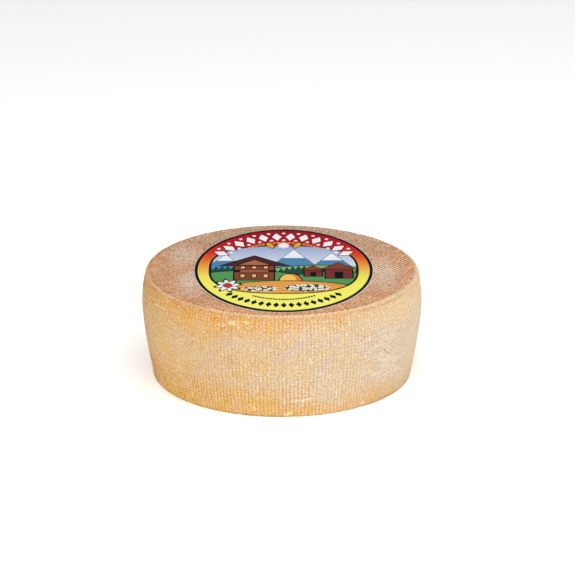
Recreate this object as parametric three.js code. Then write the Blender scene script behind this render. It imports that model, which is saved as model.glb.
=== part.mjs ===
// Half of a small round washed-rind cheese, with its oval paper label.
// The whole drum was cut across at mid height, so this half lies on its cut face, rind top up.
// Millimetres, +Z up. The origin is the middle of the cut face, and -Y is the front.

import * as THREE from 'three';

// The wheel
const height = 42; // cut face to rind top, about half of the whole drum
const widestRadius = 55; // where the side bulges most
const widestDepth = 13; // how far that is below the top
const rimRadius = 53.7; // just under the rounded top edge
const cutRadius = 50.8; // the sharp edge of the cut face
const tuckPower = 1.5; // how late the side draws in towards the cut

// The rounded top edge, and the raised line that the mould's lid left on it
const edgeRound = 2.2;
const ridgeAngle = 40; // degrees down the rounding from the flat top
const ridgeSpread = 16; // half width of the line, in the same degrees
const ridgeHeight = 0.32;

// The hand-made unevenness of the outline: waves round the side, as [waves, size, turn in radians]
const sideWaves = [
  [2, 0.14, 0.6],
  [3, 0.1, 2.1],
  [5, 0.06, 4.0],
];
// Shallow places where the drum was pressed on the shelf
const pressedPlaces = [
  { fromFront: 66, above: 20, depth: 0.3, halfWidth: 11, halfHeight: 9 },
  { fromFront: -58, above: 24, depth: 0.25, halfWidth: 13, halfHeight: 8 },
  { fromFront: 155, above: 18, depth: 0.35, halfWidth: 15, halfHeight: 10 },
];
// Small losses of rind along the cut edge
const edgeChips = [
  { fromFront: 36, depth: 0.45, halfWidth: 2.4 },
  { fromFront: 4, depth: 0.35, halfWidth: 2.2 },
  { fromFront: -17, depth: 0.3, halfWidth: 2.6 },
  { fromFront: 118, depth: 0.5, halfWidth: 3 },
  { fromFront: -134, depth: 0.6, halfWidth: 3 },
];
const chipHeight = 1.6; // how far up the side a chip reaches

// The paper label
const labelHalfWidth = 35.2; // across, along X
const labelHalfLength = 48.8; // front to back, along Y
const labelForward = 1.8; // its middle lies this far in front of the wheel's
const labelRight = 0.7; // and this far to the right
const labelThickness = 0.2; // paper, print and glue

// How finely the curved surfaces are cut up
const turnSteps = 180;
const sideSteps = 8;
const shoulderSteps = 3;
const edgeSteps = 6;
const labelSteps = 48;

const rind = new THREE.MeshStandardMaterial({ color: 0xe2bc88, roughness: 0.72, metalness: 0 });
const printedPaper = new THREE.MeshStandardMaterial({ color: 0xe08a3a, roughness: 0.4, metalness: 0 });

const bell = (x, halfWidth) => Math.exp(-((x / halfWidth) ** 2));

// Half section of the drum, from the middle of the cut face out and up to the middle of the top.
function wheelProfile() {
  const points = [new THREE.Vector2(0, 0), new THREE.Vector2(cutRadius, 0)];

  // from the cut edge up to the bulge, with one low row that the chips need
  const bulgeHeight = height - widestDepth;
  const tuck = (z) => widestRadius + (cutRadius - widestRadius) * (1 - z / bulgeHeight) ** tuckPower;
  points.push(new THREE.Vector2(tuck(chipHeight), chipHeight));
  for (let k = 1; k <= sideSteps; k++) {
    const z = (bulgeHeight * k) / sideSteps;
    points.push(new THREE.Vector2(tuck(z), z));
  }

  // from the bulge up to the rounding
  const shoulderHeight = widestDepth - edgeRound;
  for (let k = 1; k < shoulderSteps; k++) {
    const t = 1 - k / shoulderSteps;
    const r = rimRadius + (widestRadius - rimRadius) * (1 - (1 - t) ** 2);
    points.push(new THREE.Vector2(r, height - edgeRound - shoulderHeight * t));
  }

  // the rounding, with the raised line on it
  for (let k = edgeSteps; k >= 0; k--) {
    const down = (90 * k) / edgeSteps;
    const reach = edgeRound + ridgeHeight * bell(down - ridgeAngle, ridgeSpread);
    const turn = THREE.MathUtils.degToRad(down);
    const r = rimRadius - edgeRound + reach * Math.sin(turn);
    points.push(new THREE.Vector2(r, height - edgeRound + (k ? reach : edgeRound) * Math.cos(turn)));
  }
  points.push(new THREE.Vector2(0, height));
  return points;
}

// Degrees from the front of the wheel to a vertex, clockwise and anticlockwise up to 180.
const degreesFromFront = (x, y) => THREE.MathUtils.radToDeg(Math.atan2(x, -y));

// The gap between two bearings, the short way round.
const bearingGap = (a, b) => THREE.MathUtils.euclideanModulo(a - b + 180, 360) - 180;

// How far the side at this bearing and height stands out of the true turned form.
function sideOffset(bearing, z) {
  const turn = THREE.MathUtils.degToRad(bearing);
  let offset = 0;
  for (const [waves, size, phase] of sideWaves) offset += size * Math.sin(waves * turn + phase);
  for (const place of pressedPlaces) {
    const across = bell(bearingGap(bearing, place.fromFront), place.halfWidth);
    offset -= place.depth * across * bell(z - place.above, place.halfHeight);
  }
  if (z < chipHeight / 2) {
    for (const chip of edgeChips) {
      offset -= chip.depth * bell(bearingGap(bearing, chip.fromFront), chip.halfWidth);
    }
  }
  return offset;
}

function makeWheel() {
  const geometry = new THREE.LatheGeometry(wheelProfile(), turnSteps);
  geometry.rotateX(Math.PI / 2);
  const position = geometry.attributes.position;
  for (let i = 0; i < position.count; i++) {
    const x = position.getX(i);
    const y = position.getY(i);
    const r = Math.hypot(x, y);
    if (r < cutRadius / 2) continue;
    const grow = 1 + sideOffset(degreesFromFront(x, y), position.getZ(i)) / r;
    position.setXY(i, x * grow, y * grow);
  }
  const wheel = new THREE.Mesh(geometry, rind);
  wheel.name = 'wheel';
  return wheel;
}

function makeLabel() {
  const outline = new THREE.Shape();
  outline.absellipse(0, 0, labelHalfWidth, labelHalfLength, 0, 2 * Math.PI);
  const geometry = new THREE.ExtrudeGeometry(outline, {
    depth: labelThickness,
    bevelEnabled: false,
    curveSegments: labelSteps,
  });
  const label = new THREE.Mesh(geometry, printedPaper);
  label.name = 'label';
  label.position.set(labelRight, -labelForward, height);
  return label;
}

const halfWheel = new THREE.Group();
halfWheel.add(makeWheel(), makeLabel());

export default halfWheel;
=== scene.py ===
import math
from functools import partial

import bmesh
import bpy
from mathutils import Matrix, Vector, noise


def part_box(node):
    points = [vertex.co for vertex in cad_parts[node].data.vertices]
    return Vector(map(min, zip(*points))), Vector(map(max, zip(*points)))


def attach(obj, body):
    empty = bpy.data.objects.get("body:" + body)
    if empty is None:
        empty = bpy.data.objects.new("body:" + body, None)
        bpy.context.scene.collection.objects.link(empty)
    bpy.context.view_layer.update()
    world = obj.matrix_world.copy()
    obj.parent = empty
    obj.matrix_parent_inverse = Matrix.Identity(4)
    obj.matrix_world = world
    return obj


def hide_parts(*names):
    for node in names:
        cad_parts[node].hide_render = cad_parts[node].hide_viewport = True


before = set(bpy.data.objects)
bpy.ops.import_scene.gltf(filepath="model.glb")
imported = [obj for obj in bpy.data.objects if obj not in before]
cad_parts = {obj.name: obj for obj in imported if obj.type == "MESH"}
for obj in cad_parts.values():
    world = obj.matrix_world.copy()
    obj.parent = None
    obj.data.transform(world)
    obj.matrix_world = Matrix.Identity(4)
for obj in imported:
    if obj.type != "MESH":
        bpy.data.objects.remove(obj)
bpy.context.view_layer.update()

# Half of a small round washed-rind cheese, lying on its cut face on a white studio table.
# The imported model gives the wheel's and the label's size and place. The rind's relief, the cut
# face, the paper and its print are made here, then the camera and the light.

mm = 0.001
wheelLow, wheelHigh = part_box("wheel")
labelLow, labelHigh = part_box("label")
labelMiddle = (labelLow + labelHigh) / 2 / mm
labelHalf = (labelHigh - labelLow) / 2 / mm


def linearColour(code):
    # sRGB hex, such as "#e3b97e", to the linear colour that the shaders work in
    parts = [int(code[k:k + 2], 16) / 255 for k in (1, 3, 5)]
    linear = [p / 12.92 if p <= 0.04045 else ((p + 0.055) / 1.055) ** 2.4 for p in parts]
    return (*linear, 1.0)


def addNode(tree, kind, inputs=None, **settings):
    # adds one node with its settings and links. A node given as an input stands for its first
    # output, and a text such as "#e3b97e" for that colour.
    node = tree.nodes.new("ShaderNode" + kind)
    for name, value in settings.items():
        setattr(node, name, value)
    for key, value in (inputs or {}).items():
        socket = node.inputs[key] if isinstance(key, int) else next(
            s for s in node.inputs if s.enabled and s.name == key)
        if isinstance(value, bpy.types.Node):
            value = next(out for out in value.outputs if out.enabled)
        if isinstance(value, bpy.types.NodeSocket):
            tree.links.new(value, socket)
        else:
            socket.default_value = linearColour(value) if isinstance(value, str) else value
    return node


def startMaterial(name):
    # an empty material, and addNode bound to its tree
    material = bpy.data.materials.new(name)
    material.use_nodes = True
    material.node_tree.nodes.clear()
    return material, partial(addNode, material.node_tree)


def placeInMillimetres(add):
    # the point on the piece, which every pattern reads
    here = add("TexCoord").outputs["Object"]
    return add("VectorMath", {0: here, "Scale": 1 / mm}, operation="SCALE")


def finishObject(name, bm, materials):
    # from millimetres to metres, then to an object at the origin
    bmesh.ops.scale(bm, vec=(mm, mm, mm), verts=bm.verts)
    mesh = bpy.data.meshes.new(name)
    bm.to_mesh(mesh)
    bm.free()
    for material in materials:
        mesh.materials.append(material)
    piece = bpy.data.objects.new(name, mesh)
    bpy.context.scene.collection.objects.link(piece)
    return piece


def bell(x, halfWidth):
    return math.exp(-(x / halfWidth) ** 2)


def smoothStep(low, high, x):
    t = min(max((x - low) / (high - low), 0), 1)
    return t * t * (3 - 2 * t)


# The camera

cameraView = {
    "elevation": 20.53,  # degrees above the table
    "distance": 1090,  # to the middle of the wheel
    "lens": 173.2,
    "sensorWidth": 36,
    "aimRight": 2.2,  # the wheel sits a little left of the picture's middle,
    "aimUp": 12.1,  # and below it
}


def makeCamera(view):
    turn = math.radians(view["elevation"])
    back = Vector((0, -math.cos(turn), math.sin(turn)))
    up = Vector((0, math.sin(turn), math.cos(turn)))
    middle = Vector((0, 0, wheelHigh.z / 2))
    place = middle + back * view["distance"] * mm
    aim = middle + (Vector((1, 0, 0)) * view["aimRight"] + up * view["aimUp"]) * mm
    data = bpy.data.cameras.new("studioCamera")
    data.lens = view["lens"]
    data.sensor_width = view["sensorWidth"]
    camera = bpy.data.objects.new("studioCamera", data)
    camera.location = place
    camera.rotation_euler = (aim - place).to_track_quat("-Z", "Y").to_euler()
    bpy.context.scene.collection.objects.link(camera)
    bpy.context.scene.camera = camera


makeCamera(cameraView)
print("camera placed")


# The wheel's form, in millimetres and degrees

wheelForm = {
    "height": wheelHigh.z / mm,
    "widestRadius": (wheelHigh.x - wheelLow.x) / 2 / mm,
    "widestDepth": 13,  # below the top
    "rimRadius": 53.7,
    "cutRadius": 50.8,
    "tuckPower": 1.5,
    "edgeRound": 2.2,
    "ridgeAngle": 40,  # where the lid's line lies on the rounded edge
    "ridgeSpread": 14,
    "ridgeHeight": 0.3,
    "ribs": 229,  # one for each upright thread of the moulding cloth, 1.5 apart
    "stepsPerRib": 4,
    "ribDepth": 0.24,
    "ribLevel": 0.35,  # how much of that depth is left on the middle of the front,
    "ribPatches": 0.45,  # and how far it varies in patches and from thread to thread
    "ribFlecks": 0.25,
    "sideBumps": [(13, 0.1), (4, 0.05)],  # soft bumps, as their size and height
    "topBumps": [(11, 0.16), (3.1, 0.05)],
    "topSink": 0.08,  # of the top outside the label
    "outOfRound": [(2, 0.14, 0.6), (3, 0.1, 2.1)],  # waves round the wheel, their height and phase
    "rindThickness": 2.4,  # where the cut face shows it
    "rows": (10, 8, 54, 3, 7),  # of faces on the top, edge, side, cut rind and cut paste
}
# Where the ribs are deeper or more worn: the axis, from where to where, and how much
ribDrifts = [
    ("z", 18, 7, 0.28),  # deep near the cut
    ("z", 35, 39.5, 0.12),  # and under the rim
    ("x", -10, -30, 0.12),
    ("x", 12, 36, -0.22),  # worn at the right
]
hair = 1e-4  # millimetres, to tell the section's straight stretches apart
cutFaceStart = 100  # where the distances on the cut face start, far from the rind's own
# Shallow places where the drum was pressed on the shelf: bearing and height, then depth, half width
# in degrees and half height
pressedPlaces = [
    ((66, 20), 0.3, 11, 9),
    ((-58, 24), 0.25, 13, 8),
    ((155, 18), 0.35, 15, 10),
]
# Small losses of rind along the cut edge: bearing, depth and half width in degrees. The one that
# is less than nothing deep is a flake that still hangs there
edgeChips = [
    (36, 0.5, 1.6),
    (4.5, 0.3, 1.5),
    (-1.9, -0.35, 0.9),
    (-17, 0.3, 1.8),
    (118, 0.5, 2.4),
    (-134, 0.6, 2.4),
]


def bearingGap(a, b):
    return (a - b + 180) % 360 - 180


def sideRadius(form, z):
    # widest above the middle, tucked in towards the cut and a little towards the rim
    widest = form["widestRadius"]
    bulge = form["height"] - form["widestDepth"]
    if z < bulge:
        return widest - (widest - form["cutRadius"]) * (1 - z / bulge) ** form["tuckPower"]
    up = (z - bulge) / (form["widestDepth"] - form["edgeRound"])
    return widest - (widest - form["rimRadius"]) * up ** 2


def ridgeStrength(bearing):
    # the lid's line is plain at the left and right of the front and worn between
    return 0.62 - 0.38 * math.cos(math.radians(3 * bearing))


def bumps(place, sizes):
    return sum(rise * noise.noise(place / size) for size, rise in sizes)


def ribStrength(form, place, bearing):
    # how deep the cloth's marks are, rubbed in patches and over the pressed places
    level = form["ribLevel"]
    for axis, start, end, more in ribDrifts:
        level += more * smoothStep(start, end, getattr(place, axis))
    patch = noise.noise(place / 8 + Vector((7, 0, 0)))
    fleck = noise.noise(Vector((place.x / 2.2, place.y / 2.2, place.z / 7)))
    strength = min(max(level + form["ribPatches"] * patch + form["ribFlecks"] * fleck, 0.08), 1)
    for (there, above), depth, halfWidth, halfHeight in pressedPlaces:
        across = bell(bearingGap(bearing, there), 2 * halfWidth)
        strength *= 1 - 0.75 * across * bell(place.z - above - 5, 2 * halfHeight)
    return strength


def shapeRindVertex(form, vertex, fromRimLayer, wearLayer):
    # turns the straight half section into the true one, and works the relief into it
    x, y, z = vertex.co
    radius = math.hypot(x, y)
    bearing = math.degrees(math.atan2(x, -y))
    height, edge = form["height"], form["edgeRound"]
    flatRadius = form["rimRadius"] - edge
    ridgeArc = math.radians(form["ridgeAngle"]) * edge
    place = Vector((x, y, z))
    rib = math.cos(math.radians(form["ribs"] * bearing))
    if z < hair and radius < form["cutRadius"] - hair:
        # the cut face stays flat, and its distances count in from the edge
        vertex[fromRimLayer] = cutFaceStart + form["cutRadius"] - radius
        return
    if z > height - hair:
        # the top, a little uneven outside the label
        vertex[fromRimLayer] = radius - flatRadius - ridgeArc
        fromLabel = math.hypot((x - labelMiddle.x) / labelHalf.x, (y - labelMiddle.y) / labelHalf.y)
        outside = smoothStep(0.97, 1.06, fromLabel)
        vertex.co.z = height + outside * (bumps(place, form["topBumps"]) - form["topSink"])
        return
    if z > height - edge - hair:
        # the rounded edge, with the lid's line across it
        down = math.degrees(math.atan2(radius - flatRadius, z - (height - edge)))
        swell = bell(down - form["ridgeAngle"], form["ridgeSpread"])
        ridge = form["ridgeHeight"] * ridgeStrength(bearing) * swell
        reach = edge + ridge * (0.8 + 0.2 * rib) + 0.05 * noise.noise(place / 1.7)
        turn = math.radians(down)
        newRadius = flatRadius + reach * math.sin(turn)
        z = height - edge + reach * math.cos(turn)
        vertex[fromRimLayer] = turn * edge - ridgeArc
        wear = 0.5
        offset = 0.0
        share = smoothStep(55, 90, down)
    else:
        # the side, with its pressed places, its chips and the cloth's ribs
        newRadius = sideRadius(form, z)
        vertex[fromRimLayer] = math.radians(90) * edge - ridgeArc + (height - edge - z)
        offset = bumps(place, form["sideBumps"])
        for (there, above), depth, halfWidth, halfHeight in pressedPlaces:
            across = bell(bearingGap(bearing, there), halfWidth)
            offset -= depth * across * bell(z - above, halfHeight)
        low = bell(z, 1.1) * (1 + 0.5 * noise.noise(place / 0.6))
        for there, depth, halfWidth in edgeChips:
            offset -= depth * bell(bearingGap(bearing, there), halfWidth) * low
        share = 1.0
        wear = ribStrength(form, place, bearing)
    waves = sum(rise * math.sin(math.radians(count * bearing) + phase)
                for count, rise, phase in form["outOfRound"])
    offset += share * form["ribDepth"] / 2 * wear * rib
    newRadius += offset + waves * smoothStep(0, 6, z)
    vertex[wearLayer] = wear * share
    vertex.co = (x / radius * newRadius, y / radius * newRadius, z)


def makeWheel(form, rind, paste):
    # half of the section, turned round the axis
    bm = bmesh.new()
    fromRimLayer = bm.verts.layers.float.new("fromRim")
    wearLayer = bm.verts.layers.float.new("ribWear")
    height = form["height"]
    corners = [
        (0, height),
        (form["rimRadius"] - form["edgeRound"], height),
        (form["rimRadius"], height - form["edgeRound"]),
        (form["cutRadius"], 0),
        (form["cutRadius"] - form["rindThickness"], 0),
        (0, 0),
    ]
    points = [bm.verts.new((r, 0, z)) for r, z in corners]
    lines = [bm.edges.new(ends) for ends in zip(points, points[1:])]
    for line, count in zip(lines, form["rows"]):
        bmesh.ops.subdivide_edges(bm, edges=[line], cuts=count - 1)
    # a quarter is spun, then doubled twice, which is far quicker than one full spin
    steps = form["ribs"] * form["stepsPerRib"] // 4
    bmesh.ops.spin(bm, geom=bm.verts[:] + bm.edges[:], cent=(0, 0, 0), axis=(0, 0, 1),
                   angle=math.tau / 4, steps=steps)
    for turn in (math.tau / 4, math.tau / 2):
        copied = bmesh.ops.duplicate(bm, geom=bm.verts[:] + bm.edges[:] + bm.faces[:])
        turned = [part for part in copied["geom"] if isinstance(part, bmesh.types.BMVert)]
        bmesh.ops.rotate(bm, cent=(0, 0, 0), matrix=Matrix.Rotation(turn, 3, "Z"), verts=turned)
    bmesh.ops.remove_doubles(bm, verts=bm.verts, dist=1e-3)
    bmesh.ops.recalc_face_normals(bm, faces=bm.faces)
    for face in bm.faces:
        face.smooth = True
        face.material_index = int(max(v.co.z for v in face.verts) < hair)
    for edge in bm.edges:
        if len({face.material_index for face in edge.link_faces}) > 1:
            edge.smooth = False
    for vertex in bm.verts:
        shapeRindVertex(form, vertex, fromRimLayer, wearLayer)
    return finishObject("cheeseWheel", bm, [rind, paste])


# The rind's finish

rindLook = {
    "amber": "#e7a54a",  # where brine and handling darkened it, under the rim
    "gold": "#e6b45e",  # and along the cut
    "honey": "#e0b474",
    "cream": "#ebc99e",
    "shadeAndBrown": "#bf9669",  # painted shade at the far left edge, and darker low at the right
    "bloom": "#ddc4a4",  # the dry pale bloom of the middle
    "rosy": "#deb9a1",  # the pinkish flora of a washed rind
    "straw": "#e0bf84",
    "ashen": "#dccfc2",  # brushed places, dusty grey
    "lilac": "#dcbab8",
    "chalk": "#fbeeda",  # scuffs and specks
    "scratch": "#b28b58",
    "topBrown": "#c08d66",
    "topOrange": "#d09667",
    "topRosy": "#c59270",
    "topOlive": "#ae9177",  # towards the back
    "topHaze": "#d0b29c",  # pale and pinkish, beside the label
    "ridge": "#dfbea4",  # the lid's line round the rim,
    "ridgeLeft": "#d3ad8b",  # duller at the left
    "grooveShadow": "#d4a070",  # painted shadow just under it,
    "topGrooveShadow": "#bb875c",  # and painted shadow just inside it
    "beadLength": 1.3,  # millimetres between the cloth's cross threads
    "topPitch": 1.41,  # the cloth's threads on the top cross at a slant
    "topSlants": (143, 37),
    "threadLight": (0.27, 0.23),  # how far the threads' marks lighten and darken the side,
    "topThreadLight": (0.38, 0.18),  # and the top
    "streakLight": 0.5,  # how far brush streaks do
    "grain": 1.0,  # how far the finest grain does
    "sideEven": (0.86, 0.95, 0.66),  # shares of red, green and blue that keep those marks grey
    "topEven": (0.92, 0.83, 0.71),
    "clothRelief": 0.06,  # millimetres
    "fineRelief": 0.15,
    "grainRelief": 0.08,
    "roughness": 0.68,  # dry, with a faint waxy sheen
    "ior": 1.45,
}
# How the finish drifts across the wheel: along which axis, from where to where, and between which
# strengths
rindDrifts = {
    "amberRim": ("X", -45, 5, 1.4, 0.45),  # the amber bands fade towards the right
    "amberCut": ("X", -45, 5, 1.1, 0.75),
    "bloom": ("X", -50, 45, -0.4, 0.45),
    "cream": ("X", 28, 47, 0, 0.8),
    # painted shade, darkening the far left edge
    "shadeAndBrown": ("X", -46, -55, 0, 0.4),
    "lowDusk": ("X", 15, 38, 0, 0.2),  # along the cut
    "streaks": ("X", -18, -42, 0, 0.8),
    "cutPitShade": ("Z", 0.9, 0.2, 0, 0.7),  # painted shade: the threads' pits darker just above the cut, where the rind meets the table
    "topOrange": ("Y", 22, -28, 0.5, 1),
    "topOlive": ("Y", 12, 46, 0, 0.8),
    "topThreads": ("X", -10, 40, 1, 1.15),
    # painted shadow along either side of the lid's line, all but at the far right
    "grooveShadow": ("X", 56, 43, 0, 0.75),
    # painted highlight: the lid's line wider and paler towards the right
    "line": ("X", 26, 44, 0, 1),
    "lineTone": ("X", -50, 50, 0, 1),
}
# Bands along the rind: millimetres down from the lid's line where each starts and where it is full
rindBands = {
    "rim": (12.5, 1),
    "cut": (26, 42),
    "cream": (18, 6),
    "top": (-0.1, -0.7),
}
# Scuffs on the side: two ends as (bearing, height), then half width and strength
scuffs = [
    ((0.9, 6.7), (16.4, 8.0), 0.3, 0.9),
    ((-64.4, 35.8), (-54.3, 36.2), 0.3, 0.7),
    ((-57.9, 5.8), (-49.6, 5.8), 0.3, 0.6),
    ((-20.8, 38.1), (-19.5, 38.1), 0.9, 0.55),
    ((-25.5, 36.6), (-23.6, 37.0), 0.8, 0.4),
    ((-15.5, 39.0), (-13.6, 38.6), 0.5, 0.5),
    ((27.2, 38.6), (27.6, 36.6), 0.8, 0.45),
    ((26.5, 33.6), (27.0, 32.2), 0.7, 0.4),
    ((22.6, 9.6), (23.2, 8.8), 0.45, 0.6),
    ((-12.0, 4.2), (-11.2, 3.0), 0.45, 0.5),
    ((11.1, 25.2), (11.7, 22.2), 0.4, 0.65),
    ((1.2, 0.8), (4.5, 1.9), 0.5, 0.7),
    ((35.4, 1.8), (37.6, 1.6), 0.6, 0.8),
    ((96, 12), (118, 9), 0.4, 0.6),
    ((-150, 30), (-128, 34), 0.5, 0.6),
    ((150, 14), (171, 17), 0.6, 0.5),
]
# Soft pinkish stripes, given in the same way
stripes = [
    ((-1.9, 23.5), (11.5, 35.5), 1.1, 0.7),
    ((17.5, 15.5), (18.5, 27), 1.2, 0.35),
]
# Dark thin scratches
scratches = [
    ((44.5, 23.3), (49.7, 19.2), 0.3, 0.8),
    ((-21.0, 25.4), (-21.3, 19.0), 0.28, 0.5),
    ((-104, 26), (-99, 20), 0.25, 0.6),
    ((132, 30), (136, 25), 0.25, 0.5),
]
# Brushed dusty places on the side, as the middle's arc from the front and its height, then half sizes
brushedPlaces = [
    ((48, 15), (16, 6.5)),
    ((44, 25), (16, 8)),
    ((71, 26), (10, 11)),
    ((-154, 24), (17, 8)),
    ((117, 18), (13, 9)),
]
# Pale hazy places on the top beside the label, as X and Y, then half sizes
hazyPlaces = [
    ((-34, -16), (7.5, 15)),
    ((39.5, -6), (7, 20)),
    ((-39, 14), (7, 14)),
]


def addOvals(add, vector, ovals, fade, interpolation):
    # turned ovals that fade out round their middles, joined into one field
    field = None
    for middle, halfSize, turn, strength in ovals:
        local = add("Mapping", {
            "Vector": vector, "Location": (*middle, 0), "Rotation": (0, 0, turn),
            "Scale": (*halfSize, 1)}, vector_type="TEXTURE")
        reach = add("VectorMath", {0: local}, operation="LENGTH")
        part = add("MapRange", {"Value": reach, "From Min": fade[0], "From Max": fade[1],
                                "To Max": strength}, interpolation_type=interpolation)
        field = part if field is None else add("Math", {0: field, 1: part}, operation="MAXIMUM")
    return field


def makeRind(look):
    # Washed rind: dry, slightly waxy skin. It gives the eye an amber ground under a pale dusty
    # bloom, mottled pink and straw, with the moulding cloth's threads printed all over it.
    material, add = startMaterial("washedRind")
    place = placeInMillimetres(add)
    parts = add("SeparateXYZ", {0: place})
    fromRim = add("Attribute", attribute_name="fromRim").outputs["Fac"]
    wear = add("Attribute", attribute_name="ribWear").outputs["Fac"]
    forward = add("Math", {0: parts.outputs["Y"], 1: -1}, operation="MULTIPLY")
    turn = add("Math", {0: parts.outputs["X"], 1: forward}, operation="ARCTAN2")
    arc = add("Math", {0: turn, 1: wheelForm["widestRadius"]}, operation="MULTIPLY")
    unrolled = add("CombineXYZ", {"X": arc, "Y": parts.outputs["Z"]})
    drift = {}
    for name, (axis, start, end, first, last) in rindDrifts.items():
        drift[name] = add("MapRange", {"Value": parts.outputs[axis], "From Min": start, "From Max": end,
                                       "To Min": first, "To Max": last})
    band = {}
    for name, (start, full) in rindBands.items():
        band[name] = add("MapRange", {"Value": fromRim, "From Min": start, "From Max": full},
                         interpolation_type="SMOOTHSTEP")

    # irregular fields, from 18 down to 0.4 millimetres; the scales are waves per millimetre
    tall = add("Mapping", {"Vector": place, "Scale": (1, 1, 0.3)})
    shifted = add("Mapping", {"Vector": place, "Location": (170, 40, 90)})
    large = add("TexNoise", {"Vector": place, "Scale": 0.055, "Detail": 4, "Roughness": 0.6})
    medium = add("TexNoise", {"Vector": place, "Scale": 0.2, "Detail": 4, "Roughness": 0.65})
    small = add("TexNoise", {"Vector": shifted, "Scale": 0.5, "Detail": 3, "Roughness": 0.7})
    upright = add("TexNoise", {"Vector": tall, "Scale": 0.3, "Detail": 4, "Roughness": 0.6})
    blotch = add("TexNoise", {"Vector": shifted, "Scale": 0.24, "Detail": 3, "Roughness": 0.6})
    other = add("TexNoise", {"Vector": shifted, "Scale": 0.13, "Detail": 5, "Roughness": 0.7})
    fine = add("TexNoise", {"Vector": place, "Scale": 1.2, "Detail": 2, "Roughness": 0.7})
    grain = add("TexNoise", {"Vector": shifted, "Scale": 2.7, "Detail": 1, "Roughness": 0.7})

    # the cloth's print on the side: upright ribs, broken into beads by its cross threads
    waver = add("Math", {0: other, 1: 4}, operation="MULTIPLY")
    ribTurn = add("Math", {0: turn, 1: wheelForm["ribs"], 2: waver}, operation="MULTIPLY_ADD")
    ribWave = add("Math", {0: ribTurn}, operation="COSINE")
    ribHigh = add("MapRange", {"Value": ribWave, "From Min": -1, "From Max": 1})
    beadDown = add("Math", {0: fromRim, 1: math.tau / look["beadLength"]}, operation="MULTIPLY")
    beadTurn = add("Math", {0: small, 1: 14, 2: beadDown}, operation="MULTIPLY_ADD")
    beadWave = add("Math", {0: beadTurn}, operation="SINE")
    beadHigh = add("MapRange", {"Value": beadWave, "From Min": -1, "From Max": 1})

    # the side's ground: amber at the rim and the cut, honey between
    patchField = add("Math", {0: medium, 1: 0.5, 2: large}, operation="MULTIPLY_ADD")
    rimField = add("Math", {0: band["rim"], 1: drift["amberRim"]}, operation="MULTIPLY")
    cutField = add("Math", {0: band["cut"], 1: drift["amberCut"]}, operation="MULTIPLY")
    bands = add("Math", {0: rimField, 1: cutField}, operation="MAXIMUM")
    amberPatch = add("MapRange", {"Value": patchField, "From Min": 0.58, "From Max": 0.84, "To Min": 0.5})
    amberShare = add("Math", {0: bands, 1: amberPatch}, operation="MULTIPLY")
    amberTone = add("Mix", {"Factor": band["cut"], "A": look["amber"], "B": look["gold"]}, data_type="RGBA")

    # the bloom: thick in the middle of the height and towards the right
    bloomLarge = add("Math", {0: large, 1: 1.5, 2: drift["bloom"]}, operation="MULTIPLY_ADD")
    bloomMore = add("Math", {0: medium, 1: 0.9, 2: bloomLarge}, operation="MULTIPLY_ADD")
    bloomBands = add("Math", {0: bands, 1: -0.8, 2: bloomMore}, operation="MULTIPLY_ADD")
    bloomShare = add("MapRange", {"Value": bloomBands, "From Min": 0.65, "From Max": 1.55},
                     interpolation_type="SMOOTHSTEP")

    # mottles of pink, straw and gold, as light as the rest
    rosyShare = add("MapRange", {"Value": upright, "From Min": 0.46, "From Max": 0.66, "To Max": 0.5})
    strawShare = add("MapRange", {"Value": blotch, "From Min": 0.48, "From Max": 0.68, "To Max": 0.55})
    warmShare = add("MapRange", {"Value": other, "From Min": 0.52, "From Max": 0.7, "To Max": 0.3})

    # creamier at the upper right, where more light reached it; painted shade at the far left edge, and darker
    # low at the right
    creamShare = add("Math", {0: drift["cream"], 1: band["cream"]}, operation="MULTIPLY")
    lowShare = add("Math", {0: band["cut"], 1: drift["lowDusk"]}, operation="MULTIPLY")
    shadeAndBrownShare = add("Math", {0: drift["shadeAndBrown"], 1: lowShare}, operation="MAXIMUM")

    # dusty brushed places, streaked at a slant
    streakPlace = add("Mapping", {
        "Vector": unrolled, "Rotation": (0, 0, math.radians(-24)), "Scale": (0.12, 1.3, 1)})
    streaks = add("TexNoise", {"Vector": streakPlace, "Scale": 1, "Detail": 3, "Roughness": 0.65})
    softFade, markFade = (1.3, 0.3), (1.15, 0.5)  # shares of an oval's size where it starts and is full
    brushed = addOvals(add, unrolled, [(*oval, 0, 1) for oval in brushedPlaces], softFade, "SMOOTHSTEP")
    streakShare = add("MapRange", {"Value": streaks, "From Min": 0.36, "From Max": 0.62, "To Max": 0.75})
    ashenShare = add("Math", {0: brushed, 1: streakShare}, operation="MULTIPLY")

    side = look["honey"]
    for share, tone in (
            (amberShare, amberTone), (bloomShare, look["bloom"]), (rosyShare, look["rosy"]),
            (strawShare, look["straw"]), (warmShare, look["gold"]), (creamShare, look["cream"]),
            (shadeAndBrownShare, look["shadeAndBrown"]), (ashenShare, look["ashen"])):
        side = add("Mix", {"Factor": share, "A": side, "B": tone}, data_type="RGBA")

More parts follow.
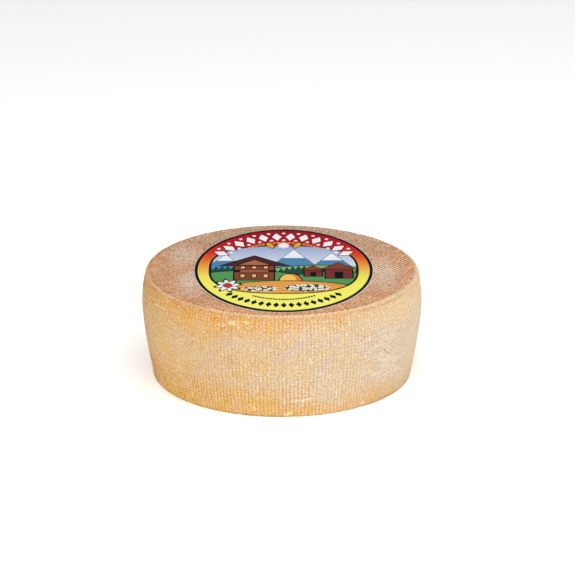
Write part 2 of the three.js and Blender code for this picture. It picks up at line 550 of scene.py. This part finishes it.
    # the threads' marks, where they are left: pits between the ribs, crests rubbed in patches
    pitWide = add("MapRange", {"Value": ribHigh, "From Min": 0.6, "From Max": 0.05})
    pitBead = add("MapRange", {"Value": beadHigh, "To Min": 1, "To Max": 0.25})
    pitPlace = add("Math", {0: pitWide, 1: pitBead}, operation="MULTIPLY")
    pitWorn = add("Math", {0: pitPlace, 1: wear}, operation="MULTIPLY")
    crestWide = add("MapRange", {"Value": ribHigh, "From Min": 0.4, "From Max": 1})
    crestBead = add("MapRange", {"Value": beadHigh, "To Min": 0.2})
    crestPatch = add("MapRange", {"Value": fine, "From Min": 0.4, "From Max": 0.64, "To Min": 0.35})
    crestWear = add("MapRange", {"Value": wear, "To Min": 0.2})
    pale, dark = look["threadLight"]
    sideLight = crestWide
    for share in (crestBead, crestPatch, crestWear, pale):
        sideLight = add("Math", {0: sideLight, 1: share}, operation="MULTIPLY")
    # painted shade in the pits just above the cut, where the rind meets the table
    pitDeep = add("Math", {0: pitWide, 1: 0.6, 2: 0.4}, operation="MULTIPLY_ADD")
    cutPitShaded = add("Math", {0: drift["cutPitShade"], 1: pitDeep}, operation="MULTIPLY")
    pitsAndCutShade = add("Math", {0: pitWorn, 1: cutPitShaded}, operation="MAXIMUM")
    sideMarks = add("Math", {0: pitsAndCutShade, 1: -dark, 2: sideLight}, operation="MULTIPLY_ADD")

    # scuffs and scratches, each a long thin patch between two ends
    scuffBreak = add("MapRange", {"Value": fine, "From Min": 0.3, "From Max": 0.48})
    for marks, tone in ((stripes, "lilac"), (scuffs, "chalk"), (scratches, "scratch")):
        ovals = []
        for start, end, halfWidth, strength in marks:
            ends = [Vector((math.radians(b) * wheelForm["widestRadius"], z)) for b, z in (start, end)]
            reach = ends[1] - ends[0]
            ovals.append(((ends[0] + ends[1]) / 2, (reach.length / 2 + halfWidth, halfWidth),
                          math.atan2(reach.y, reach.x), strength))
        marked = addOvals(add, unrolled, ovals, markFade, "LINEAR")
        share = add("Math", {0: marked, 1: scuffBreak}, operation="MULTIPLY")
        side = add("Mix", {"Factor": share, "A": side, "B": look[tone]}, data_type="RGBA")

    # the top: brown, more orange towards the rim, olive at the back, with a pale haze by the label
    outward = add("MapRange", {"Value": fromRim, "From Min": -12, "From Max": -1})
    outwardSpread = add("Math", {0: patchField, 1: 1.6, 2: outward}, operation="MULTIPLY_ADD")
    orangeField = add("MapRange", {"Value": outwardSpread, "From Min": 1.45, "From Max": 2.15},
                      interpolation_type="SMOOTHSTEP")
    orangeShare = add("Math", {0: orangeField, 1: drift["topOrange"]}, operation="MULTIPLY")
    topRosyShare = add("MapRange", {"Value": blotch, "From Min": 0.45, "From Max": 0.65, "To Max": 0.6})
    flat = add("VectorMath", {0: place, 1: (1, 1, 0)}, operation="MULTIPLY")
    hazy = addOvals(add, flat, [(*oval, 0, 1) for oval in hazyPlaces], softFade, "SMOOTHSTEP")
    hazePatch = add("MapRange", {"Value": medium, "From Min": 0.3, "From Max": 0.6, "To Min": 0.45})
    hazeShare = add("Math", {0: hazy, 1: hazePatch}, operation="MULTIPLY")
    top = look["topBrown"]
    for share, tone in ((orangeShare, "topOrange"), (topRosyShare, "topRosy"),
                        (drift["topOlive"], "topOlive"), (hazeShare, "topHaze")):
        top = add("Mix", {"Factor": share, "A": top, "B": look[tone]}, data_type="RGBA")

    # the cloth's threads on the top: pale crossings and small dark pits
    threads = []
    for slant in look["topSlants"]:
        step = math.tau / look["topPitch"]
        wave = (math.cos(math.radians(slant)) * step, math.sin(math.radians(slant)) * step, 0)
        across = add("VectorMath", {0: flat, 1: wave}, operation="DOT_PRODUCT")
        swayed = add("Math", {0: small, 1: 6, 2: across}, operation="MULTIPLY_ADD")
        threads.append(add("Math", {0: swayed}, operation="SINE"))
    weave = add("Math", {0: threads[1], 1: 0.6, 2: threads[0]}, operation="MULTIPLY_ADD")
    weaveHigh = add("MapRange", {"Value": weave, "From Min": -1.6, "From Max": 1.6})
    palePart = add("Math", {0: weaveHigh, 1: fine}, operation="MULTIPLY")
    paleRise = add("MapRange", {"Value": palePart, "From Min": 0.2, "From Max": 0.5})
    weavePatch = add("MapRange", {"Value": upright, "From Min": 0.36, "From Max": 0.62, "To Min": 0.35})
    paleShare = add("Math", {0: paleRise, 1: weavePatch}, operation="MULTIPLY")
    pitPart = add("Math", {0: weaveHigh, 1: 0.7, 2: fine}, operation="MULTIPLY_ADD")
    topPitShare = add("MapRange", {"Value": pitPart, "From Min": 0.74, "From Max": 0.48})
    pale, dark = look["topThreadLight"]
    topLight = add("Math", {0: paleShare, 1: pale}, operation="MULTIPLY")
    topDark = add("Math", {0: topPitShare, 1: -dark, 2: topLight}, operation="MULTIPLY_ADD")
    topMarks = add("Math", {0: topDark, 1: drift["topThreads"]}, operation="MULTIPLY")

    # between them the lid's line, pale and stitched by the ribs, widened towards the right as a painted
    # highlight, with a painted shadow in a groove on either side
    eitherSide = add("Math", {0: fromRim}, operation="ABSOLUTE")
    grooveOff = add("Math", {0: eitherSide, 1: 1}, operation="SUBTRACT")
    grooveAway = add("Math", {0: grooveOff}, operation="ABSOLUTE")
    grooveShadowField = add("MapRange", {"Value": grooveAway, "From Min": 1, "From Max": 0.1},
                      interpolation_type="SMOOTHSTEP")
    grooveShadowShare = add("Math", {0: grooveShadowField, 1: drift["grooveShadow"]}, operation="MULTIPLY")
    grooveShadowTone = add("Mix", {"Factor": band["top"], "A": look["grooveShadow"], "B": look["topGrooveShadow"]},
                     data_type="RGBA")
    # the line's own pale colour, widened and strengthened towards the right as a painted highlight
    lineShift = add("Math", {0: drift["line"], 1: 0.4, 2: fromRim}, operation="MULTIPLY_ADD")
    lineOff = add("Math", {0: lineShift}, operation="ABSOLUTE")
    lineWide = add("Math", {0: drift["line"], 1: 0.8, 2: 0.75}, operation="MULTIPLY_ADD")
    lineField = add("MapRange", {"Value": lineOff, "From Min": lineWide, "From Max": 0.1},
                    interpolation_type="SMOOTHSTEP")
    lineStrength = add("Math", {0: drift["line"], 1: 0.15, 2: 0.75}, operation="MULTIPLY_ADD")
    lineStitch = add("MapRange", {"Value": ribHigh, "To Min": 0.55})
    lineFirst = add("Math", {0: lineField, 1: lineStrength}, operation="MULTIPLY")
    paleLineAndHighlight = add("Math", {0: lineFirst, 1: lineStitch}, operation="MULTIPLY")
    lineTone = add("Mix", {"Factor": drift["lineTone"], "A": look["ridgeLeft"], "B": look["ridge"]},
                   data_type="RGBA")

    # pale dust specks, half a millimetre across, with soft edges
    cells = add("TexVoronoi", {"Vector": place, "Scale": 0.75})
    speck = add("MapRange", {"Value": cells.outputs["Distance"], "From Min": 0.34, "From Max": 0.18,
                             "To Max": 0.6})
    cellPick = add("SeparateColor", {0: cells.outputs["Color"]})
    chosen = add("Math", {0: cellPick, 1: 0.84}, operation="GREATER_THAN")
    speckShare = add("Math", {0: speck, 1: chosen}, operation="MULTIPLY")
    whole = side
    for share, tone in ((band["top"], top), (grooveShadowShare, grooveShadowTone), (paleLineAndHighlight, lineTone),
                        (speckShare, look["chalk"])):
        whole = add("Mix", {"Factor": share, "A": whole, "B": tone}, data_type="RGBA")

    # last, the light and dark of the threads' marks and of a fine dusty grain, kept grey; a real
    # grain is finer than the picture can show
    twoGrains = add("Math", {0: fine, 1: 0.35, 2: grain}, operation="MULTIPLY_ADD")
    grainOff = add("Math", {0: twoGrains, 1: 0.675}, operation="SUBTRACT")
    marks = add("Mix", {"Factor": band["top"], "A": sideMarks, "B": topMarks}, data_type="FLOAT")
    streakOff = add("Math", {0: streaks, 1: 0.5}, operation="SUBTRACT")
    streakPlaces = add("Math", {0: brushed, 1: drift["streaks"]}, operation="MAXIMUM")
    streakPart = add("Math", {0: streakOff, 1: streakPlaces}, operation="MULTIPLY")
    streaked = add("Math", {0: streakPart, 1: look["streakLight"], 2: marks}, operation="MULTIPLY_ADD")
    detail = add("Math", {0: grainOff, 1: look["grain"], 2: streaked}, operation="MULTIPLY_ADD")
    evenTone = add("Mix", {"Factor": band["top"], "A": look["sideEven"], "B": look["topEven"]},
                   data_type="VECTOR")
    final = add("VectorMath", {0: detail, 1: evenTone, 2: whole}, operation="MULTIPLY_ADD")

    # relief finer than the mesh, in millimetres: beads and grain on the side, the weave on the top
    beads = add("Math", {0: beadWave, 1: crestWide}, operation="MULTIPLY")
    cloth = add("Mix", {"Factor": band["top"], "A": beads, "B": weave}, data_type="FLOAT")
    relief = add("Math", {0: cloth, 1: look["clothRelief"]}, operation="MULTIPLY")
    for field, rise in ((fine, look["fineRelief"]), (grain, look["grainRelief"])):
        relief = add("Math", {0: field, 1: rise, 2: relief}, operation="MULTIPLY_ADD")
    bump = add("Bump", {"Height": relief, "Distance": mm})
    shader = add("BsdfPrincipled", {
        "Base Color": final, "Normal": bump, "Roughness": look["roughness"], "IOR": look["ior"]})
    add("OutputMaterial", {"Surface": shader})
    return material


pasteLook = {
    "ivory": "#efdcaa",
    "deeper": "#e6cd93",
    "underRind": "#c9a066",
    "rindBrown": "#a97a48",
}


def makePaste(look):
    # Cut semi-hard paste: smooth, faintly moist and a little see-through, darker towards the rind
    material, add = startMaterial("cutPaste")
    place = placeInMillimetres(add)
    fromRim = add("Attribute", attribute_name="fromRim").outputs["Fac"]
    clouds = add("TexNoise", {"Vector": place, "Scale": 0.09, "Detail": 3})
    wobble = add("TexNoise", {"Vector": place, "Scale": 0.35, "Detail": 2})
    inFromEdge = add("Math", {0: fromRim, 1: cutFaceStart}, operation="SUBTRACT")
    ragged = add("Math", {0: wobble, 1: 1.6, 2: inFromEdge}, operation="MULTIPLY_ADD")
    soft = add("MapRange", {"Value": ragged, "From Min": 8, "From Max": 1.5, "To Max": 0.55},
               interpolation_type="SMOOTHSTEP")
    rindShare = add("MapRange", {"Value": ragged, "From Min": 2.3, "From Max": 1.3},
                    interpolation_type="SMOOTHSTEP")
    paste = look["ivory"]
    for share, tone in ((clouds, "deeper"), (soft, "underRind"), (rindShare, "rindBrown")):
        paste = add("Mix", {"Factor": share, "A": paste, "B": look[tone]}, data_type="RGBA")
    drag = add("Mapping", {"Vector": place, "Scale": (0.15, 1.6, 1)})
    wire = add("TexNoise", {"Vector": drag, "Scale": 1, "Detail": 2})
    bump = add("Bump", {"Height": wire, "Distance": 0.08 * mm})
    shader = add("BsdfPrincipled", {
        "Base Color": paste, "Normal": bump, "Roughness": 0.42, "IOR": 1.45,
        "Subsurface Weight": 0.25, "Subsurface Radius": (1, 0.6, 0.3), "Subsurface Scale": 3 * mm})
    add("OutputMaterial", {"Surface": shader})
    return material


wheel = makeWheel(wheelForm, makeRind(rindLook), makePaste(pasteLook))
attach(wheel, "root")
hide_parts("wheel")
print("wheel made:", len(wheel.data.polygons), "faces")


# The label: a thin sheet of coated paper, glued flat

labelForm = {
    "halfWidth": labelHalf.x - 0.05,
    "halfLength": labelHalf.y - 0.05,
    "gap": 0.02,
    "thickness": 0.12,
    "cockle": 0.05,  # how far the damp paper waves,
    "cockleSize": 9,  # and how far apart
    "rings": 26,
    "steps": 120,
}


def makeLabel(form, printedPaper):
    bm = bmesh.new()
    ends = [bm.verts.new((0, 0, 0)), bm.verts.new((1, 0, 0))]
    line = bm.edges.new(ends)
    bmesh.ops.subdivide_edges(bm, edges=[line], cuts=form["rings"] - 1)
    bmesh.ops.spin(bm, geom=bm.verts[:] + bm.edges[:], cent=(0, 0, 0), axis=(0, 0, 1),
                   angle=math.tau, steps=form["steps"], use_merge=True)
    bmesh.ops.remove_doubles(bm, verts=bm.verts, dist=1e-4)
    bmesh.ops.recalc_face_normals(bm, faces=bm.faces)
    bmesh.ops.scale(bm, vec=(form["halfWidth"], form["halfLength"], 1), verts=bm.verts)
    bmesh.ops.translate(bm, vec=(labelMiddle.x, labelMiddle.y, 0), verts=bm.verts)
    if bm.faces[0].normal.z < 0:
        bmesh.ops.reverse_faces(bm, faces=bm.faces)
    bmesh.ops.solidify(bm, geom=bm.faces[:], thickness=form["thickness"])
    lowest = min(v.co.z for v in bm.verts)
    bmesh.ops.translate(bm, vec=(0, 0, wheelForm["height"] + form["gap"] - lowest), verts=bm.verts)
    for vertex in bm.verts:
        x, y, z = vertex.co
        wave = noise.noise(Vector((x / form["cockleSize"], y / form["cockleSize"], 3)))
        vertex.co.z += form["cockle"] * (wave + 0.7)  # upwards only
    for face in bm.faces:
        face.smooth = abs(face.normal.z) > 0.5
    return finishObject("paperLabel", bm, [printedPaper])


printLook = {
    "paper": "#ece4dc",
    "ink": "#0c0a0a",
    "bandStops": [  # from the front of the label to its back, in the print's own millimetres
        (-26, "#f6f274"), (-12, "#f3ef62"), (-6, "#f1e35e"), (-1, "#edbd52"), (4, "#e8963c"),
        (9, "#e2602c"), (14, "#da3026"), (22, "#bd1229"), (32, "#a80a28"),
    ],
    "white": "#f7f3ee",
    "gold": "#e0a63c",
    "wine": "#5c0a1c",
    "poppy": "#d2322a",
    "bandReach": 34,  # from the middle to either end of them
    "pictureHalf": (29.3, 20.3),
    "pictureRoundness": 2.7,  # 2 would be an ellipse
    "pictureLine": 0.968,  # where the dark line round the picture starts, as a share of its size
    "ruleStart": 0.956,  # the black rule round the label, as shares of its size
    "ruleEnd": 0.99,
    "ruleBroader": 0.006,  # how far it spreads either way at the front
    "horizon": "#d9e2ee",
    "sky": "#a0add6",
    "rock": "#4f86b0",
    "snow": "#eef3f8",
    "pine": "#1c4a40",
    "farMeadow": "#86b368",
    "meadow": "#559656",
    "timber": "#80432f",
    "roof": "#4a2320",
    "plank": "#b0694a",
    "barn": "#75312f",
    "window": "#e9c27a",
    "field": "#eba750",
    "furrow": "#d98a3c",
    "straw": "#f3c65a",
    "strawShade": "#dc7f35",
    "blossom": "#f6ecd4",
}
# Chains of small shapes on the frame: the kind, the middle's direction and the whole reach in
# degrees, how many, the ring's radius, half sizes along and across the ring, tone and edge
printChains = [
    ("lozenge", 90, 134, 12, 28.1, (2.0, 3.3), "white", "wine"),
    ("disc", 90, 123, 11, 31.2, (0.7, 0.7), "white", None),
    ("disc", 90, 123, 11, 25.1, (0.7, 0.7), "white", None),
    ("lozenge", 90, 84, 22, 22.9, (0.7, 0.8), "gold", None),
    ("lozenge", -90, 96, 17, 29.3, (1.2, 2.0), "ink", None),
    ("disc", -90, 58, 24, 24.8, (0.45, 0.55), "ink", None),
]


def makePrint(look, form):
    # Coated paper, offset printed: flat bright inks under a satin gloss. The print is an oval frame
    # with a mountain farm in it, and chains of small lozenges and dots run round the frame.
    material, add = startMaterial("printedPaper")
    paperPlace = placeInMillimetres(add)
    squash = form["halfWidth"] / form["halfLength"]  # the print's own space is round
    place = add("Mapping", {
        "Vector": paperPlace, "Location": (-labelMiddle.x, -labelMiddle.y * squash, 0),
        "Scale": (1, squash, 0)})
    parts = add("SeparateXYZ", {0: place})
    across, upward = parts.outputs["X"], parts.outputs["Y"]

    def measure(kind, middle, halfSize, turn=0):
        # how far out in a shape each point is: 0 in the middle, 1 on the edge
        local = add("Mapping", {
            "Vector": place, "Location": (*middle, 0), "Rotation": (0, 0, math.radians(turn)),
            "Scale": (*halfSize, 1)}, vector_type="TEXTURE")
        if kind == "disc":
            return add("VectorMath", {0: local}, operation="LENGTH")
        folded = add("VectorMath", {0: local}, operation="ABSOLUTE")
        sides = add("SeparateXYZ", {0: folded})
        if kind == "block":
            return add("Math", {0: sides.outputs["X"], 1: sides.outputs["Y"]}, operation="MAXIMUM")
        level = add("SeparateXYZ", {0: local}).outputs["Y"]  # a gable, wide below
        slope = add("Math", {0: sides.outputs["X"], 1: 2, 2: level}, operation="MULTIPLY_ADD")
        below = add("Math", {0: level, 1: -1}, operation="MULTIPLY")
        return add("Math", {0: slope, 1: below}, operation="MAXIMUM")

    def layTones(value, layers, within=None):
        # tones over what is printed so far, each where the measure is under its limit
        nonlocal printed
        for limit, tone in layers:
            share = add("Math", {0: value, 1: limit}, operation="LESS_THAN")
            if within is not None:
                share = add("Math", {0: share, 1: within}, operation="MULTIPLY")
            printed = add("Mix", {"Factor": share, "A": printed, "B": tone}, data_type="RGBA")

    def paint(kind, middle, halfSize, tone, turn=0, outline=0.45):
        # one flat shape over what is printed so far, with a dark line round it
        layers = [(1 - outline / min(halfSize), look[tone])]
        if outline:
            layers.insert(0, (1.0, look["ink"]))
        layTones(measure(kind, middle, halfSize, turn), layers)

    # the sky, then mountains with snow on them
    skyShare = add("MapRange", {"Value": upward, "From Min": 2, "From Max": 19})
    printed = add("Mix", {"Factor": skyShare, "A": look["horizon"], "B": look["sky"]}, data_type="RGBA")
    for x, y, halfWidth, halfHeight in ((-23, 5, 10, 8), (19, 5, 12, 9), (4, 6.5, 13, 10.5)):
        paint("gable", (x, y), (halfWidth, halfHeight), "rock")
        cap = 0.34 * halfHeight
        paint("gable", (x, y + halfHeight - cap - 0.4), (0.34 * halfWidth, cap), "snow", outline=0)

    # meadows, and a row of firs along the farther one
    paint("disc", (14, -5), (26, 8.5), "farMeadow")
    firs = add("Math", {0: across, 1: 1.15}, operation="PINGPONG")
    firTops = add("Math", {0: firs, 1: 2.6, 2: -1.6}, operation="MULTIPLY_ADD")
    crest = add("Math", {0: across, 1: 0.21}, operation="MULTIPLY")
    crestWave = add("Math", {0: crest}, operation="SINE")
    firLine = add("Math", {0: crestWave, 1: 1.6, 2: firTops}, operation="MULTIPLY_ADD")
    layTones(upward, [(firLine, look["pine"])])
    paint("disc", (-14, -9), (24, 8), "meadow")
    paint("disc", (20, -10), (20, 8), "meadow")

    # the farmhouse at the left, with a balcony and windows
    paint("block", (-11.5, -3), (8.2, 6.5), "timber")
    paint("block", (-11.5, -1.6), (8.2, 0.9), "plank", outline=0.3)
    for x in (-16, -11.5, -7):
        paint("block", (x, 1.4), (1.1, 1.2), "window", outline=0.35)
        paint("block", (x, -5.6), (1.1, 1.6), "window", outline=0.35)
    paint("gable", (-11.5, 7.2), (14.5, 4.6), "roof")
    paint("gable", (-11.5, 5.6), (7.0, 2.4), "plank", outline=0.3)

    # two barns at the right, and a haystack between them
    for x, y, size in ((11.5, -3.2, 0.75), (21.5, -3.4, 1.1)):
        paint("block", (x, y), (5.2 * size, 4.2 * size), "barn")
        paint("block", (x, y - 1.4 * size), (1.5 * size, 2.4 * size), "ink", outline=0)
        paint("gable", (x, y + 5.6 * size), (7.0 * size, 2.8 * size), "timber")
    paint("disc", (2.6, -10.5), (4.8, 7.0), "strawShade")
    paint("disc", (1.7, -10.0), (3.2, 5.6), "straw", outline=0)

    # the field in front, in furrows, with two banks of blossom
    paint("disc", (1, -19), (31, 9.5), "field")
    field = measure("disc", (1, -19), (30, 9))
    fieldShare = add("Math", {0: field, 1: 1}, operation="LESS_THAN")
    furrow = add("Math", {0: upward, 1: -4.2}, operation="MULTIPLY")
    furrowBend = add("Math", {0: across, 1: -0.25, 2: furrow}, operation="MULTIPLY_ADD")
    furrowWave = add("Math", {0: furrowBend}, operation="SINE")
    layTones(furrowWave, [(-0.55, look["furrow"])], within=fieldShare)
    rightBank = measure("disc", (9, -15.5), (9, 3.0))
    leftBank = measure("disc", (-9, -16.2), (7, 2.2))
    banks = add("Math", {0: rightBank, 1: leftBank}, operation="MINIMUM")
    bankShare = add("Math", {0: banks, 1: 1}, operation="LESS_THAN")
    petals = add("TexVoronoi", {"Vector": place, "Scale": 0.62, "Randomness": 0.8}, voronoi_dimensions="2D")
    layTones(banks, [(1.0, look["pine"])])
    layTones(petals.outputs["Distance"], [(0.44, look["blossom"]), (0.12, look["furrow"])], within=bankShare)

    # the frame's colours, and the picture set in it with a dark line
    picture = printed
    reach = look["bandReach"]
    height = add("MapRange", {"Value": upward, "From Min": -reach, "From Max": reach})
    ramp = add("ValToRGB", {"Fac": height})
    stops = look["bandStops"]
    while len(ramp.color_ramp.elements) < len(stops):
        ramp.color_ramp.elements.new(0.5)
    for element, (level, colour) in zip(ramp.color_ramp.elements, stops):
        element.position = (level + reach) / (2 * reach)
        element.color = linearColour(colour)
    power = look["pictureRoundness"]
    scaled = add("Mapping", {"Vector": place, "Scale": (*look["pictureHalf"], 1)}, vector_type="TEXTURE")
    folded = add("VectorMath", {0: scaled}, operation="ABSOLUTE")
    sides = add("SeparateXYZ", {0: folded})
    powers = [add("Math", {0: sides.outputs[name], 1: power}, operation="POWER") for name in "XY"]
    total = add("Math", {0: powers[0], 1: powers[1]})
    outside = add("Math", {0: total, 1: 1 / power}, operation="POWER")
    printed = ramp
    layTones(outside, [(1.0, look["ink"]), (look["pictureLine"], picture)])

    # chains of small shapes round the frame
    length = add("VectorMath", {0: place}, operation="LENGTH")
    turn = add("Math", {0: upward, 1: across}, operation="ARCTAN2")
    for kind, middle, reach, count, ring, halfSize, tone, edge in printChains:
        half = math.radians(reach) / 2
        step = 2 * half / count
        fromMiddle = add("Math", {0: turn, 1: math.radians(middle)}, operation="SUBTRACT")
        away = add("Math", {0: fromMiddle}, operation="ABSOLUTE")
        within = add("Math", {0: away, 1: half}, operation="LESS_THAN")
        fromStart = add("Math", {0: fromMiddle, 1: half}, operation="ADD")
        cell = add("Math", {0: fromStart, 1: step}, operation="FLOORED_MODULO")
        beside = add("Math", {0: cell, 1: step / 2}, operation="SUBTRACT")
        above = add("Math", {0: length, 1: ring}, operation="SUBTRACT")
        arc = add("Math", {0: beside, 1: ring / halfSize[0]}, operation="MULTIPLY")
        rise = add("Math", {0: above, 1: 1 / halfSize[1]}, operation="MULTIPLY")
        flat = add("CombineXYZ", {"X": arc, "Y": rise})
        if kind == "disc":
            value = add("VectorMath", {0: flat}, operation="LENGTH")
        else:
            sides = add("VectorMath", {0: flat}, operation="ABSOLUTE")
            value = add("VectorMath", {0: sides, 1: (1, 1, 0)}, operation="DOT_PRODUCT")
        layers = [(1.0, look[tone])]
        if edge:
            layers.insert(0, (1.25, look[edge]))
        layTones(value, layers, within)

    # a rosette between two golden leaves at the top, and a white blossom at the left
    for x, lean in ((-5.4, 25), (5.4, -25)):
        paint("disc", (x, 20.6), (1.5, 3.2), "gold", turn=lean, outline=0.3)
    for k in range(4):
        paint("disc", (0, 20.4), (0.8, 2.6), "white", turn=45 * k, outline=0)
    for k in range(4):
        paint("disc", (-21.5, -13.6), (1.5, 5.8), "white", turn=45 * k + 12, outline=0.3)
    paint("disc", (-21.5, -13.6), (1.8, 1.8), "poppy", outline=0.3)

    # the black rule round it all, then bare paper at the cut
    out = add("Math", {0: length, 1: form["halfWidth"]}, operation="DIVIDE")
    broader = add("MapRange", {"Value": upward, "From Min": -16, "From Max": -33,
                               "To Max": look["ruleBroader"]})
    for limit, way, tone in (("ruleStart", "SUBTRACT", "ink"), ("ruleEnd", "ADD", "paper")):
        edge = add("Math", {0: look[limit], 1: broader}, operation=way)
        share = add("Math", {0: out, 1: edge}, operation="GREATER_THAN")
        printed = add("Mix", {"Factor": share, "A": printed, "B": look[tone]}, data_type="RGBA")

    # the paper's fibres, just felt through the gloss
    fibres = add("TexNoise", {"Vector": paperPlace, "Scale": 1.4, "Detail": 3})
    bump = add("Bump", {"Height": fibres, "Distance": 0.03 * mm})
    shader = add("BsdfPrincipled", {
        "Base Color": printed, "Normal": bump, "Roughness": 0.35, "IOR": 1.5, "Specular IOR Level": 0.25})
    add("OutputMaterial", {"Surface": shader})
    return material


label = makeLabel(labelForm, makePrint(printLook, labelForm))
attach(label, "root")
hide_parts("label")
print("label made:", len(label.data.polygons), "faces")


# The studio: a white table, a faint sky and three soft lamps

studio = {
    "table": "#f4f4f2",
    "tableSize": 8.0,
    "tableDrop": 0.05,  # millimetres, so that the cheese and the table don't meet
    "tableGlow": 0.34,
    "sky": 0.05,
    "lamps": [  # bearing from the front and elevation in degrees, metres, watts
        {"name": "overheadLamp", "bearing": 10, "elevation": 76, "distance": 1.4, "size": 1.6, "power": 21.8},
        {"name": "keyLamp", "bearing": 58, "elevation": 32, "distance": 1.5, "size": 1.1, "power": 6.4},
        {"name": "fillLamp", "bearing": -42, "elevation": 25, "distance": 1.6, "size": 1.3, "power": 6.0},
    ],
}


def makeStudio(settings):
    bm = bmesh.new()
    bmesh.ops.create_grid(bm, x_segments=1, y_segments=1, size=settings["tableSize"] / 2 / mm)
    bmesh.ops.translate(bm, vec=(0, 0, -settings["tableDrop"]), verts=bm.verts)
    material, add = startMaterial("whiteTable")  # matt laminate, kept plain and bright
    shader = add("BsdfPrincipled", {
        "Base Color": settings["table"], "Roughness": 0.5, "IOR": 1.45,
        "Emission Color": "#ffffff", "Emission Strength": settings["tableGlow"]})
    add("OutputMaterial", {"Surface": shader})
    table = finishObject("studioTable", bm, [material])

    world = bpy.data.worlds.new("softSky")
    world.use_nodes = True
    background = world.node_tree.nodes["Background"]
    background.inputs["Color"].default_value = (1, 1, 1, 1)
    background.inputs["Strength"].default_value = settings["sky"]
    bpy.context.scene.world = world

    for lamp in settings["lamps"]:
        data = bpy.data.lights.new(lamp["name"], "AREA")
        data.size = lamp["size"]
        data.energy = lamp["power"]
        bearing, elevation = math.radians(lamp["bearing"]), math.radians(lamp["elevation"])
        direction = Vector((math.sin(bearing) * math.cos(elevation), -math.cos(bearing) * math.cos(elevation),
                            math.sin(elevation)))
        light = bpy.data.objects.new(lamp["name"], data)
        light.location = direction * lamp["distance"]
        light.rotation_euler = direction.to_track_quat("Z", "Y").to_euler()
        bpy.context.scene.collection.objects.link(light)
    bpy.context.scene.view_settings.view_transform = "Standard"


makeStudio(studio)
print("studio made")
